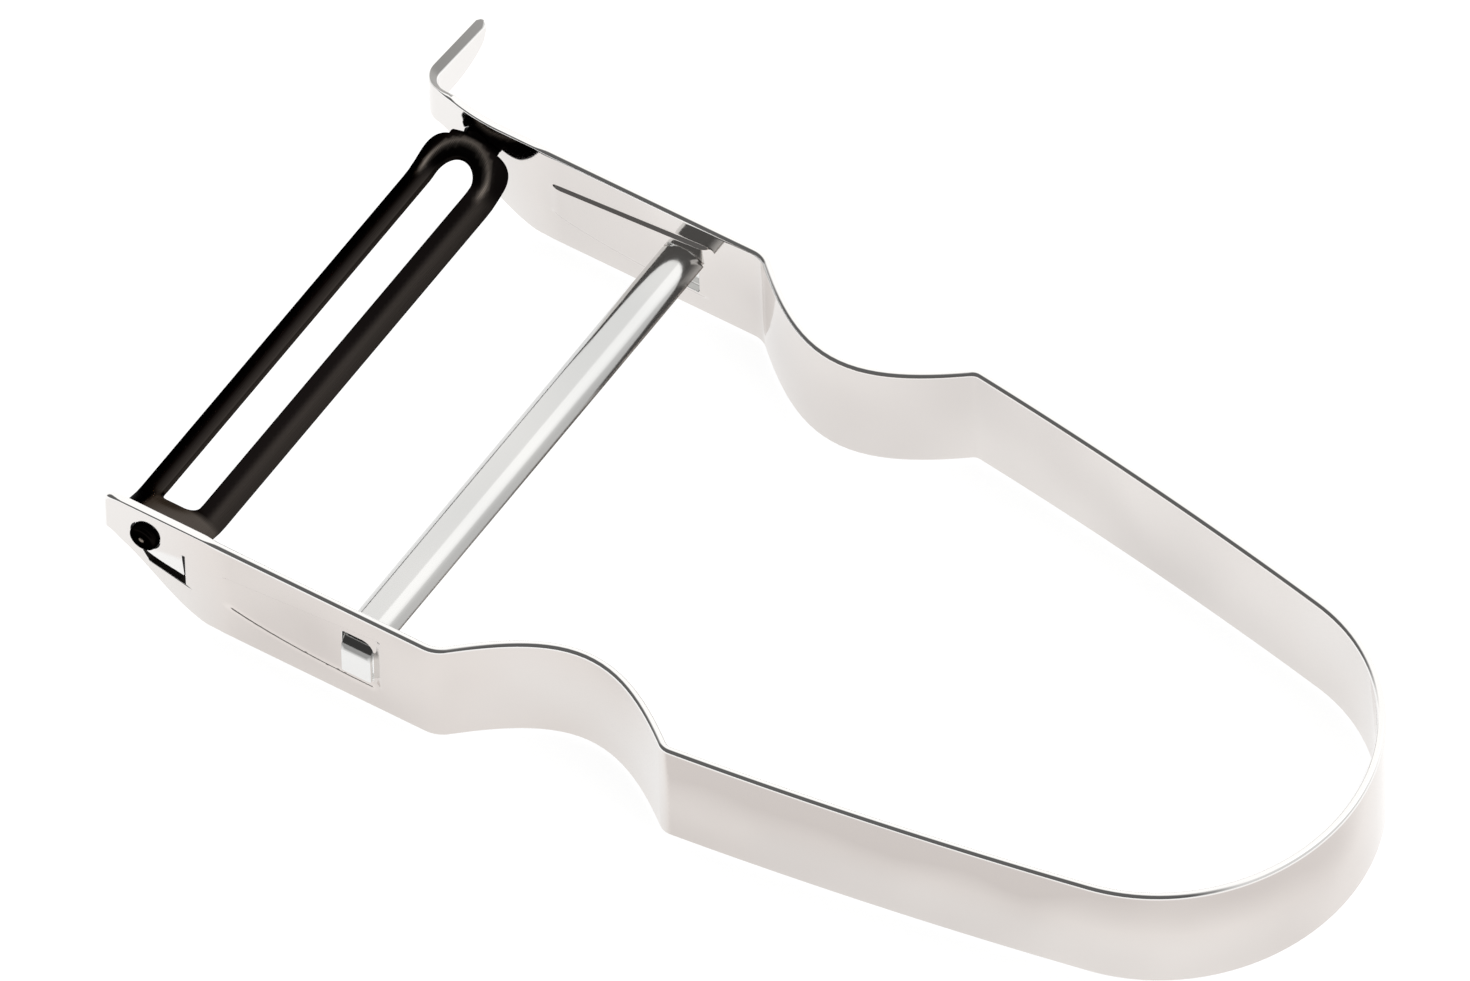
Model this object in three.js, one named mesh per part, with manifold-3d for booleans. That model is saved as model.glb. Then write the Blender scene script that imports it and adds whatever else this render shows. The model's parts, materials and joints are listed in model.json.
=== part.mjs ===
// Bow peeler: one bent steel strip carries a swivelling slotted blade and a fixed cross bar.
// Millimetres, +Z up. The strip stands on its lower edge at Z = 0 and the blade is at the -Y end.
// The pieces are drawn with Y = 0 on the blade's pivot axis, then centred on the whole outline.
import * as THREE from 'three';
import { mergeVertices } from 'three/addons/utils/BufferGeometryUtils.js';
import Module from 'manifold-3d';

const wasm = await Module();
wasm.setup();

// Strip that the bow is bent from
const STRIP_T = 1;
const STRIP_H = 14;

// Arms, measured along Y from the pivot axis and across X from the centre plane
const ARM_HALF = 32.05;
const TIP_AHEAD = 5.3;
const TIP_H = 5.4;
const TIP_ROUND = 1.1;
const ARM_BACK = 36.2;
const ARM_BEND_R = 3.2;

// Curve of the arms' lower edge, from the tip to the full height of the strip
const TAPER_END = 10;
const TAPER_EYE_Y = 0.5;
const TAPER_EYE_DROP = 3.4;
const TAPER_FOOT_Y = 3.2;

// Finger waists and the shoulders behind them
const WAIST_SPAN = 27.6;
const WAIST_PINCH = 10.4;
const WAIST_EASE = 10.8;
const SHOULDER_INSET = 1.7;
const SHOULDER_R = 1.6;

// Palm loop: bowed sides that run into an elliptical end
const LOOP_LENGTH = 65.4;
const LOOP_END_HALF = 23.05;
const LOOP_END_DEPTH = 21.7;
const LOOP_JOIN_ANGLE = 11;

// Eye gouger: the far arm flares gently, then its tip is bent outward and a little back
const FLARE_START = 2.9;
const FLARE_R = 25;
const GOUGE_AHEAD = 7.8;
const GOUGE_REACH = 12.2;
const GOUGE_SWEEP = 0.6;
const GOUGE_BEND_R = 2.2;
const GOUGE_ROUND_LENGTH = 7.5;
const GOUGE_TIP_H = 1.2;

// Pivot of the blade, measured down from the strip's top edge
const PIVOT_DROP = 3.7;
const PIN_D = 3.6;
const PIN_PLAY = 0.3;
const PIN_PROUD = 0.9;
const PIN_DOME = 0.5;
const PIN_ROOT = 2.6;

// Lanced stop behind and below the near arm's pivot hole, measured from the pivot axis
const STOP_TOP = 1.9;
const STOP_FRONT = 0.4;
const STOP_HINGE_FRONT = 2.9;
const STOP_REAR = 4.6;
const STOP_FRONT_DEPTH = 1.1;
const STOP_REAR_DEPTH = 1.8;
const STOP_LEAN = 0.85;
const STOP_KERF = 0.35;
const STOP_GAP = 1.2;
const STOP_TAIL = 0.8;

// Blade: an arched strip with a long slot and a narrow neck at each end
const BLADE_W = 10.2;
const BLADE_T = 0.8;
const BLADE_ARCH_R = 7.5;
const BLADE_CROWN_DROP = 0.3;
const BLADE_END_PLAY = 0.3;
const NECK_W = 5.9;
const NECK_LENGTH = 0.6;
const SHOULDER_LENGTH = 2.4;
const BLADE_SLOT_W = 4.4;
const BLADE_SLOT_END = 3.4;

// Cross bar: a half-round channel with a bent tongue in a slot of each arm
const BAR_Y = 26.4;
const BAR_DROP = 4;
const BAR_R = 3.06;
const BAR_HALF_ANGLE = 60;
const BAR_T = 0.6;
const BAR_GAP = 0.3;
const TONGUE_W = 3.7;
const TONGUE_DROP = 1;
const TONGUE_BEND_R = 1.5;
const TONGUE_LAP = 0.8;
const SLOT_PLAY = 0.3;
const SLOT_SILL = 3.8;
const SLOT_ROUND = 1.4;

// Wedge-shaped rib pressed inward on each arm, from the blade back to the bar's slot
const RIB_FRONT = 9.4;
const RIB_DEPTH = 0.6;
const RIB_TAIL = 0.7;
const RIB_SILL = 3.1;
const RIB_BELLY_Y = 17;
const RIB_CREST = 1.5;
const RIB_NOSE_H = 3.2;
const RIB_NOSE_Z = 7.3;
const RIB_WALL = 0.5;

// Fineness of the curves and the overrun of cutting solids
const ARC_STEP = THREE.MathUtils.degToRad(9);
const ROUND_SEGMENTS = 32;
const WAIST_POINTS = 10;
const LOOP_SIDE_POINTS = 6;
const LOOP_END_POINTS = 17;
const TAPER_POINTS = 12;
const MERGE_TOLERANCE = 1e-4;
const OVERRUN = 2;

// Places that several pieces share
const armIn = ARM_HALF - STRIP_T / 2;
const armOut = ARM_HALF + STRIP_T / 2;
const pivotZ = STRIP_H - PIVOT_DROP;
const holeR = PIN_D / 2 + PIN_PLAY;
const shoulderY = ARM_BACK + WAIST_SPAN;
const loopEndY = shoulderY + LOOP_LENGTH;
const barTop = STRIP_H - BAR_DROP;
const tongueTop = barTop - TONGUE_DROP;
const slotHalf = TONGUE_W / 2 + SLOT_PLAY;
const slotTop = tongueTop + SLOT_PLAY;
const ribEnd = BAR_Y + slotHalf + RIB_TAIL;
const allX = ARM_HALF + GOUGE_REACH + OVERRUN;

const point = (x, y) => new THREE.Vector2(x, y);

// Solids and geometry

function toSolid(geometry) {
  geometry.deleteAttribute('normal');
  geometry.deleteAttribute('uv');
  const merged = mergeVertices(geometry, MERGE_TOLERANCE);
  return new wasm.Manifold(new wasm.Mesh({
    numProp: 3,
    vertProperties: new Float32Array(merged.attributes.position.array),
    triVerts: new Uint32Array(merged.index.array),
  }));
}

function toMesh(name, solid, material) {
  const { vertProperties, triVerts } = solid.getMesh();
  const geometry = new THREE.BufferGeometry();
  geometry.setAttribute('position', new THREE.BufferAttribute(vertProperties, 3));
  geometry.setIndex(new THREE.BufferAttribute(triVerts, 1));
  geometry.computeVertexNormals();
  const mesh = new THREE.Mesh(geometry, material);
  mesh.name = name;
  return mesh;
}

function extrude(outline, depth) {
  return new THREE.ExtrudeGeometry(new THREE.Shape(outline), { depth, bevelEnabled: false });
}

// An (x, y) outline raised from z0 to z1
function alongZ(outline, z0, z1) {
  return toSolid(extrude(outline, z1 - z0).translate(0, 0, z0));
}

// A (y, z) outline carried from x0 to x1
function alongX(outline, x0, x1) {
  const turn = new THREE.Matrix4().makeBasis(
    new THREE.Vector3(0, 1, 0), new THREE.Vector3(0, 0, 1), new THREE.Vector3(1, 0, 0));
  return toSolid(extrude(outline, x1 - x0).applyMatrix4(turn).translate(x0, 0, 0));
}

// An (x, z) outline carried from y0 to y1
function alongY(outline, y0, y1) {
  const turn = new THREE.Matrix4().makeBasis(
    new THREE.Vector3(1, 0, 0), new THREE.Vector3(0, 0, 1), new THREE.Vector3(0, -1, 0));
  return toSolid(extrude(outline, y1 - y0).applyMatrix4(turn).translate(0, y1, 0));
}

// A solid of revolution on the pivot axis, from (x, radius) points that start and end on the axis
function onPivot(profile) {
  const lathe = new THREE.LatheGeometry(profile.map(({ x, y }) => point(y, x)), ROUND_SEGMENTS);
  return toSolid(lathe.rotateZ(-Math.PI / 2).translate(0, 0, pivotZ));
}

// Points on the round that eases a corner, from the side of one neighbour to the other
function roundCorner(before, corner, after, radius) {
  const toBefore = before.clone().sub(corner).normalize();
  const toAfter = after.clone().sub(corner).normalize();
  const halfAngle = Math.acos(toBefore.dot(toAfter)) / 2;
  const inward = toBefore.clone().add(toAfter).normalize();
  const centre = corner.clone().addScaledVector(inward, radius / Math.sin(halfAngle));
  const start = corner.clone().addScaledVector(toBefore, radius / Math.tan(halfAngle)).sub(centre);
  const turn = (Math.PI - 2 * halfAngle) * -Math.sign(toBefore.cross(toAfter));
  const steps = Math.max(2, Math.ceil(Math.abs(turn) / ARC_STEP));
  return Array.from({ length: steps + 1 }, (_, i) =>
    start.clone().rotateAround(point(0, 0), turn * i / steps).add(centre));
}

// Centre line of the strip in plan

const mirrored = (points) => points.map(({ x, y }) => point(-x, y)).reverse();

function loopEndPoint(angle) {
  const centreY = loopEndY - LOOP_END_DEPTH;
  return point(LOOP_END_HALF * Math.cos(angle), centreY + LOOP_END_DEPTH * Math.sin(angle));
}

// The side bows outward and meets the end ellipse without a corner
function loopSide(from) {
  const angle = THREE.MathUtils.degToRad(LOOP_JOIN_ANGLE);
  const join = loopEndPoint(angle);
  const lean = (LOOP_END_HALF / LOOP_END_DEPTH) * Math.tan(angle);
  const middleY = (from.y + join.y) / 2;
  const control = point(join.x + lean * (join.y - middleY), middleY);
  return new THREE.QuadraticBezierCurve(from, control, join);
}

function loopEnd() {
  const first = THREE.MathUtils.degToRad(LOOP_JOIN_ANGLE);
  return Array.from({ length: LOOP_END_POINTS }, (_, i) =>
    loopEndPoint(first + (Math.PI - 2 * first) * i / (LOOP_END_POINTS - 1)));
}

function halfBow() {
  const tip = point(ARM_HALF, -TIP_AHEAD);
  const armBend = point(ARM_HALF, ARM_BACK);
  const shoulder = point(ARM_HALF - SHOULDER_INSET, shoulderY);
  const waistX = ARM_HALF - WAIST_PINCH;
  const waist = new THREE.CubicBezierCurve(
    armBend, point(waistX, ARM_BACK + WAIST_EASE), point(waistX, shoulderY - WAIST_EASE), shoulder);
  const side = loopSide(shoulder).getPoints(LOOP_SIDE_POINTS);
  return {
    tip,
    flank: [
      ...roundCorner(tip, armBend, waist.v1, ARM_BEND_R),
      ...waist.getPoints(WAIST_POINTS).slice(1, -1),
      ...roundCorner(waist.v2, shoulder, side[1], SHOULDER_R),
      ...side.slice(1, -1),
    ],
  };
}

// Sideways lean of the flared far arm at a place ahead of the flare's start
function flareSlope(y) {
  return Math.tan(Math.asin((FLARE_START - y) / FLARE_R));
}

// The far arm's gentle flare, which stops where the gouger's tight bend begins
function flareArc() {
  const sweep = Math.asin((FLARE_START + GOUGE_AHEAD - 2 * GOUGE_BEND_R) / FLARE_R);
  const steps = Math.max(2, Math.ceil(sweep / ARC_STEP));
  return Array.from({ length: steps + 1 }, (_, i) => {
    const angle = sweep * i / steps;
    return point(-ARM_HALF - FLARE_R * (1 - Math.cos(angle)), FLARE_START - FLARE_R * Math.sin(angle));
  });
}

function bowCentreLine() {
  const { tip, flank } = halfBow();
  const flare = flareArc();
  const flareEnd = flare.at(-1);
  const gougeCorner = point(flareEnd.x - (flareEnd.y + GOUGE_AHEAD) * flareSlope(flareEnd.y), -GOUGE_AHEAD);
  const gougeTip = point(-ARM_HALF - GOUGE_REACH, GOUGE_SWEEP - GOUGE_AHEAD);
  const gouge = roundCorner(flareEnd, gougeCorner, gougeTip, GOUGE_BEND_R);
  return [tip, ...flank, ...loopEnd(), ...mirrored(flank), ...flare, ...gouge, gougeTip];
}

// One side of the strip: the centre line moved sideways by an even distance
function offsetLine(line, distance) {
  return line.map((here, i) => {
    const into = here.clone().sub(line[Math.max(i - 1, 0)]);
    const out = line[Math.min(i + 1, line.length - 1)].clone().sub(here);
    const along = into.normalize().add(out.normalize()).normalize();
    const lead = i === 0 ? out : into;
    const stretch = distance / along.dot(lead.clone().normalize());
    return point(here.x + along.y * stretch, here.y - along.x * stretch);
  });
}

// Cuts and forms of the arms

// The near arm's upper front corner is rounded off
function tipCut() {
  const front = -TIP_AHEAD;
  const round = roundCorner(point(front, 0), point(front, STRIP_H), point(0, STRIP_H), TIP_ROUND);
  return alongX([
    ...round, point(round.at(-1).x, STRIP_H + OVERRUN), point(front - OVERRUN, STRIP_H + OVERRUN),
    point(front - OVERRUN, round[0].y),
  ], 0, allX);
}

function taperCut() {
  const tipLow = STRIP_H - TIP_H;
  const edge = new THREE.CubicBezierCurve(
    point(-TIP_AHEAD, tipLow), point(TAPER_EYE_Y, pivotZ - TAPER_EYE_DROP),
    point(TAPER_FOOT_Y, 0), point(TAPER_END, 0));
  const front = -Math.max(TIP_AHEAD, GOUGE_AHEAD) - OVERRUN;
  return alongX([
    point(front, tipLow), ...edge.getPoints(TAPER_POINTS), point(TAPER_END, -OVERRUN), point(front, -OVERRUN),
  ], -allX, allX);
}

// The gouger's lower edge sweeps up to its small tip in a quarter ellipse
function gougeCut() {
  const tipX = -ARM_HALF - GOUGE_REACH;
  const rootX = tipX + GOUGE_ROUND_LENGTH;
  const lowZ = STRIP_H - TIP_H;
  const rise = TIP_H - GOUGE_TIP_H;
  const sweep = Array.from({ length: TAPER_POINTS + 1 }, (_, i) => {
    const angle = (Math.PI / 2) * i / TAPER_POINTS;
    return point(rootX - GOUGE_ROUND_LENGTH * Math.sin(angle), lowZ + rise * (1 - Math.cos(angle)));
  });
  return alongY([
    ...sweep, point(tipX - OVERRUN, lowZ + rise), point(tipX - OVERRUN, lowZ - OVERRUN),
    point(rootX, lowZ - OVERRUN),
  ], -GOUGE_AHEAD - OVERRUN, -GOUGE_AHEAD + GOUGE_BEND_R);
}

function pivotHole() {
  return onPivot([point(-allX, 0), point(-allX, holeR), point(allX, holeR), point(allX, 0)]);
}

// Outline of the bar's slot, with its upper rear corner rounded, drawn in by an even inset
function slotOutline(inset) {
  const low = SLOT_SILL + inset;
  const top = slotTop - inset;
  const front = BAR_Y - slotHalf + inset;
  const rear = BAR_Y + slotHalf - inset;
  const upperRear = roundCorner(point(rear, low), point(rear, top), point(front, top), SLOT_ROUND - inset);
  return [point(front, low), point(rear, low), ...upperRear, point(front, top)];
}

// Corners of the lanced stop as it lies in the arm's plane, from the hinge round to the front
function stopCorners() {
  const hingeZ = pivotZ - STOP_TOP;
  return {
    hingeFront: point(STOP_HINGE_FRONT, hingeZ),
    hingeRear: point(STOP_REAR, hingeZ),
    lowRear: point(STOP_REAR, hingeZ - STOP_REAR_DEPTH),
    lowFront: point(STOP_FRONT, hingeZ - STOP_FRONT_DEPTH),
  };
}

// The window is open below the stop and along its rear and front edges
function stopWindow() {
  const { hingeFront, hingeRear, lowRear, lowFront } = stopCorners();
  const rearY = STOP_REAR + STOP_KERF;
  return alongX([
    hingeFront,
    hingeRear,
    point(STOP_REAR, hingeRear.y + STOP_TAIL),
    point(rearY, hingeRear.y + STOP_TAIL),
    point(rearY, lowRear.y - STOP_GAP),
    point(rearY + STOP_TAIL, lowRear.y - STOP_GAP - STOP_KERF),
    point(lowFront.x, lowFront.y - STOP_GAP),
    point(lowFront.x - STOP_KERF, lowFront.y),
  ], 0, allX);
}

// The stop hangs from its hinge and leans inward
function stopTab() {
  const { hingeFront, hingeRear, lowRear, lowFront } = stopCorners();
  const plate = alongY([
    point(armOut, hingeRear.y + STOP_KERF), point(armIn, hingeRear.y + STOP_KERF),
    point(armIn, hingeRear.y), point(armIn - STOP_LEAN, lowRear.y),
    point(armOut - STOP_LEAN, lowRear.y), point(armOut, hingeRear.y),
  ], lowFront.x, STOP_REAR);
  const shape = alongX([
    point(hingeFront.x + STOP_KERF, hingeFront.y + STOP_KERF), point(hingeRear.x, hingeRear.y + STOP_KERF),
    lowRear, lowFront, point(hingeFront.x + STOP_KERF, hingeFront.y),
  ], 0, allX);
  return plate.intersect(shape);
}

// Footprint of the pressed rib on the arm, drawn in by a margin for the hollow side
function ribFootprint(inset) {
  const front = RIB_FRONT + inset;
  const rear = ribEnd - inset;
  const belly = new THREE.QuadraticBezierCurve(
    point(front, RIB_NOSE_Z - RIB_NOSE_H / 2 + inset), point(RIB_BELLY_Y, RIB_SILL + inset),
    point(rear, RIB_SILL + inset));
  const crest = slotTop + RIB_CREST - inset;
  return [
    ...belly.getPoints(TAPER_POINTS / 2), point(rear, crest),
    point(front, RIB_NOSE_Z + RIB_NOSE_H / 2 - inset),
  ];
}

// A wedge on the given face of an arm that deepens toward the bar
function ribWedge(side, faceX, inset) {
  const wedge = alongZ([
    point(side * armOut, RIB_FRONT), point(side * faceX, RIB_FRONT),
    point(side * (faceX - RIB_DEPTH), ribEnd), point(side * armOut, ribEnd),
  ], 0, STRIP_H);
  const reach = [side * (armIn - RIB_DEPTH - OVERRUN), side * (armOut + OVERRUN)].sort((a, b) => a - b);
  return wedge.intersect(alongX(ribFootprint(inset), ...reach));
}

function bowSolid() {
  const line = bowCentreLine();
  const outline = [...offsetLine(line, STRIP_T / 2), ...offsetLine(line, -STRIP_T / 2).reverse()];
  let bow = alongZ(outline, 0, STRIP_H).subtract(taperCut()).subtract(tipCut()).subtract(gougeCut());
  for (const side of [1, -1]) {
    bow = bow.add(ribWedge(side, armIn, 0)).subtract(ribWedge(side, armOut, RIB_WALL));
  }
  const slots = alongX(slotOutline(0), -allX, allX);
  return bow.subtract(pivotHole()).subtract(slots).subtract(stopWindow()).add(stopTab());
}

// Blade

// Section of an arched sheet in (y, z), crown up, cut off at a half-angle
function archSection(outerR, thickness, halfAngle, centreY, topZ) {
  const steps = Math.ceil(2 * halfAngle / ARC_STEP);
  const arc = (radius) => Array.from({ length: steps + 1 }, (_, i) => {
    const angle = halfAngle * (2 * i / steps - 1);
    return point(centreY + radius * Math.sin(angle), topZ - outerR + radius * Math.cos(angle));
  });
  return [...arc(outerR), ...arc(outerR - thickness).reverse()];
}

function bladePlan() {
  const end = armIn - BLADE_END_PLAY;
  const neck = end - NECK_LENGTH;
  const shoulder = new THREE.QuadraticBezierCurve(
    point(neck - SHOULDER_LENGTH, BLADE_W / 2), point(neck, BLADE_W / 2), point(neck, NECK_W / 2));
  const quarter = [...shoulder.getPoints(TAPER_POINTS / 2), point(end, NECK_W / 2)];
  const flipped = quarter.map(({ x, y }) => point(x, -y)).reverse();
  const right = [...quarter, ...flipped];
  return [...right, ...right.map(({ x, y }) => point(-x, -y))];
}

function bladeSlot() {
  const half = armIn - BLADE_END_PLAY - BLADE_SLOT_END;
  const radius = BLADE_SLOT_W / 2;
  const slot = new THREE.Shape();
  slot.absarc(half - radius, 0, radius, -Math.PI / 2, Math.PI / 2);
  slot.absarc(radius - half, 0, radius, Math.PI / 2, 3 * Math.PI / 2);
  return alongZ(slot.getPoints(TAPER_POINTS), 0, STRIP_H);
}

// The trunnion tapers into the crown inside the arm and is domed outside it
function trunnion(side) {
  const radius = PIN_D / 2;
  const face = armOut + PIN_PROUD;
  const root = armIn - BLADE_END_PLAY;
  const profile = [
    point(root - PIN_ROOT, 0), point(root, radius), point(face - PIN_DOME, radius),
    point(face, radius - PIN_DOME), point(face, 0),
  ];
  return onPivot(side > 0 ? profile : profile.map(({ x, y }) => point(-x, y)).reverse());
}

function bladeSolid() {
  const halfAngle = Math.asin(BLADE_W / 2 / (BLADE_ARCH_R - BLADE_T));
  const top = pivotZ - BLADE_CROWN_DROP;
  const sheet = alongX(archSection(BLADE_ARCH_R, BLADE_T, halfAngle, 0, top), -armIn, armIn);
  return sheet.intersect(alongZ(bladePlan(), 0, STRIP_H)).subtract(bladeSlot())
    .add(trunnion(1)).add(trunnion(-1));
}

// Cross bar

// The tongue leaves the crown, passes into the slot and is bent down flush with the arm
function barTongue(side, barEnd) {
  const low = SLOT_SILL + SLOT_PLAY;
  const corner = (x, z) => point(side * x, z);
  const outer = roundCorner(
    corner(barEnd, tongueTop), corner(armOut, tongueTop), corner(armOut, low), TONGUE_BEND_R);
  const inner = roundCorner(
    corner(armOut - BAR_T, low), corner(armOut - BAR_T, tongueTop - BAR_T),
    corner(barEnd, tongueTop - BAR_T), TONGUE_BEND_R - BAR_T);
  const root = barEnd - TONGUE_LAP;
  const strap = alongY([
    corner(root, tongueTop), ...outer, corner(armOut, low), corner(armOut - BAR_T, low),
    ...inner, corner(root, tongueTop - BAR_T),
  ], BAR_Y - TONGUE_W / 2, BAR_Y + TONGUE_W / 2);
  return strap.intersect(alongX(slotOutline(SLOT_PLAY), -allX, allX));
}

function barSolid() {
  const barEnd = armIn - RIB_DEPTH - BAR_GAP;
  const halfAngle = THREE.MathUtils.degToRad(BAR_HALF_ANGLE);
  const channel = alongX(archSection(BAR_R, BAR_T, halfAngle, BAR_Y, barTop), -barEnd, barEnd);
  return channel.add(barTongue(1, barEnd)).add(barTongue(-1, barEnd));
}

// Materials and assembly

const polishedSteel = new THREE.MeshStandardMaterial({ color: 0xdcd8d5, metalness: 1, roughness: 0.14 });
const blackenedSteel = new THREE.MeshStandardMaterial({ color: 0x2b2725, metalness: 0.8, roughness: 0.34 });
const brightSteel = new THREE.MeshStandardMaterial({ color: 0xe4e4e2, metalness: 1, roughness: 0.1 });

const peeler = new THREE.Group();
peeler.add(toMesh('bow_handle', bowSolid(), polishedSteel));
peeler.add(toMesh('swivel_blade', bladeSolid(), blackenedSteel));
peeler.add(toMesh('cross_bar', barSolid(), brightSteel));

// The origin is the middle of the whole outline, on the surface that the strip stands on
const middleX = (armOut + PIN_PROUD - ARM_HALF - GOUGE_REACH) / 2;
const middleY = (loopEndY - GOUGE_AHEAD) / 2;
peeler.position.set(-middleX, -middleY, 0);

export default peeler;
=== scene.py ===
"""Looks of the bow peeler: three pressed steel sheets, their finishes, a white studio and the camera."""
import json
import math
from collections import namedtuple

import bpy
import numpy as np
from mathutils import Matrix, Vector
from mathutils.geometry import delaunay_2d_cdt


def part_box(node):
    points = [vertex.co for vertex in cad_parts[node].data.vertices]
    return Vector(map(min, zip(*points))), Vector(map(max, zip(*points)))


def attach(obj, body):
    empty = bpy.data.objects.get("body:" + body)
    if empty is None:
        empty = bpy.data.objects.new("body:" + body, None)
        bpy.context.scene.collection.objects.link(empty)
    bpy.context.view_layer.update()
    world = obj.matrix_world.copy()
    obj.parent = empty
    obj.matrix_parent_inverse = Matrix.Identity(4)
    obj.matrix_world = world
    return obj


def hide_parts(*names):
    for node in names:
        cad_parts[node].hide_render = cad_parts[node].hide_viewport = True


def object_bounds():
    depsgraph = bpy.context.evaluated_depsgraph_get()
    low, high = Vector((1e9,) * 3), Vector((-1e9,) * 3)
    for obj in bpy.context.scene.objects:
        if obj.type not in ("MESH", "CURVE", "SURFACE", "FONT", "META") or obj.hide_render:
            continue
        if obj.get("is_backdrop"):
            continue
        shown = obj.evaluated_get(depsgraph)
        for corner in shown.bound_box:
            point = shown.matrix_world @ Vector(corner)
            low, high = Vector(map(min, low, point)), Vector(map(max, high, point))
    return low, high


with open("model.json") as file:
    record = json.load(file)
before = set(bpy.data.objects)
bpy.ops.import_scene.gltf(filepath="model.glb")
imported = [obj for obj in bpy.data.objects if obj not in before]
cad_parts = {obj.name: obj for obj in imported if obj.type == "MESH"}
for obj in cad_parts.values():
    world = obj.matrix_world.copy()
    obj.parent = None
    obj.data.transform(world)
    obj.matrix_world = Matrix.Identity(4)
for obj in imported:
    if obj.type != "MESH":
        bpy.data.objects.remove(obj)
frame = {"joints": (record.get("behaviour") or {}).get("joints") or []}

cad_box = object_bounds()

# Sizes are in millimetres, in the drawing frame: Y = 0 on the pivot axis, X = 0 midway between the arms
MM = 0.001
PIVOT = np.array(frame["joints"][0]["pos_m"]) / MM
BOW_LOW, BOW_HIGH = (np.array(corner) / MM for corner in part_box("bow_handle"))
STRIP_H = BOW_HIGH[2] - BOW_LOW[2]
PIVOT_Z = PIVOT[2]
DRAWING_ORIGIN = np.array([PIVOT[0], PIVOT[1], BOW_LOW[2]])

# Strip and arms
STRIP_T = 1.0
STRIP_EDGE_ROUND = 0.48
CUT_EDGE_ROUND = 0.08
PIVOT_EDGE_ROUND = 0.18
PIVOT_EDGE_FRONT = (-4.6, -3.0)
PIVOT_EDGE_REAR = (7.0, 9.0)
ARM_HALF = 32.05
ARM_IN = ARM_HALF - STRIP_T / 2
ARM_OUT = ARM_HALF + STRIP_T / 2
TIP_AHEAD = 5.3
TIP_H = 5.4
TIP_ROUND = 1.1
ARM_BACK = 36.2
ARM_BEND_R = 3.2
TAPER_END = 10.0
TAPER_EYE = (0.5, PIVOT_Z - 3.4)
TAPER_FOOT = (3.2, 0.0)

# Waists, shoulders and palm loop
WAIST_SPAN = 27.6
WAIST_PINCH = 10.4
WAIST_EASE = 10.8
SHOULDER_INSET = 1.7
SHOULDER_R = 1.6
JOIN_LENGTH = 0.8
LOOP_LENGTH = 65.4
LOOP_END_HALF = 23.05
LOOP_END_DEPTH = 21.7
LOOP_JOIN_ANGLE = math.radians(11)

# Gouger
FLARE_START = 2.9
FLARE_R = 25.0
GOUGE_AHEAD = 7.79
GOUGE_REACH = 12.2
GOUGE_SWEEP = 0.6
GOUGE_BEND_R = 2.2
GOUGE_ROUND_LENGTH = 7.5
GOUGE_TIP_H = 1.2
GOUGE_EDGE_ROUND = 0.12
GOUGE_BEVEL = 1.0
GOUGE_BEVEL_REACH = 2.4
GOUGE_START = 14.0
GOUGE_FULL = 11.4
GOUGE_TIP_EASE = 0.9

# Painted light and shade on the strip's faces, standing in for the reflections they show
LOOP_TOP_SHADE = 0.36
LOOP_SHADE_LOW = 4.0
LOOP_LOW_SHEEN = 0.14
SHOULDER_SHADE = 0.34
SHOULDER_SHADE_LENGTH = 14.0
SHOULDER_TURN = 0.8
LOOP_SHADE_SIDE = (-12.0, 18.0)
WAIST_BRIGHT = 0.25
WAIST_BRIGHT_LENGTH = 9.0
FAR_BRIGHT = 0.24
FAR_EASE = 10.0

# Pivot holes and the near arm's lanced stop, whose heights are drops below the pivot axis
PIN_D = 3.3
PIN_HOLE_D = 3.7
PIN_PROUD = 0.75
PIN_DOME = 0.45
PIN_PIP = 0.26
PIN_PIP_RISE = 0.1
PIN_PIP_BORDER = 0.078
# Painted highlight on the pip in the pin's end
PIN_PIP_SHEEN = 0.6
PIN_MARGIN = 0.01
STOP_FRONT = -0.1
STOP_REAR = 4.6
STOP_HINGE_DROPS = (1.4, 0.6)
STOP_LOW_DROPS = (2.3, 4.15)
STOP_SILL_DROPS = (3.82, 4.9)
STOP_SILL_FRONT = 0.4
STOP_NOSE = (-0.4, 2.6)
STOP_REAR_TOP = 0.35
STOP_KERF = 0.35
STOP_TAIL = 0.8
STOP_LEAN = 0.4
STOP_FOLD = 0.4
# Painted highlight on the stop, growing away from its fold
STOP_BRIGHT = 0.8
STOP_SHINE_EASE = 0.8

# Cross bar, its tongues and their slots
BAR_Y = 26.4
BAR_TOP = STRIP_H - 4.0
BAR_R = 3.06
BAR_HALF_ANGLE = math.radians(60)
BAR_T = 0.6
BAR_GAP = 0.04
BAR_EDGE_ROUND = 0.07
BAR_CORNER = 0.15
TONGUE_W = 3.7
TONGUE_TOP = BAR_TOP - 1.0
TONGUE_BEND_R = 1.5
TONGUE_LAP = 0.8
TONGUE_FLAT = 3.8
TONGUE_SHINE_EASE = 0.5
SLOT_PLAY = 0.07
SLOT_SILL = 3.8
SLOT_TOP = TONGUE_TOP + 0.75
SLOT_ROUND = 1.4
SLOT_CORNER = 0.25

# Pressed ribs
RIB_FRONT = 8.9
RIB_DEPTH = 0.48
RIB_NOSE_DEPTH = 0.36
RIB_TAIL = 1.6
RIB_SILL = 2.5
RIB_BELLY_Y = 16.0
RIB_TOP = 11.5
RIB_NOSE_LOW = 4.9
RIB_NOSE_HIGH = 9.6
RIB_UPPER_EASE = 0.5
RIB_LOWER_RUN = 2.75
RIB_NOSE_EASE = 1.8
RIB_REAR_EASE = 1.5

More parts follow.
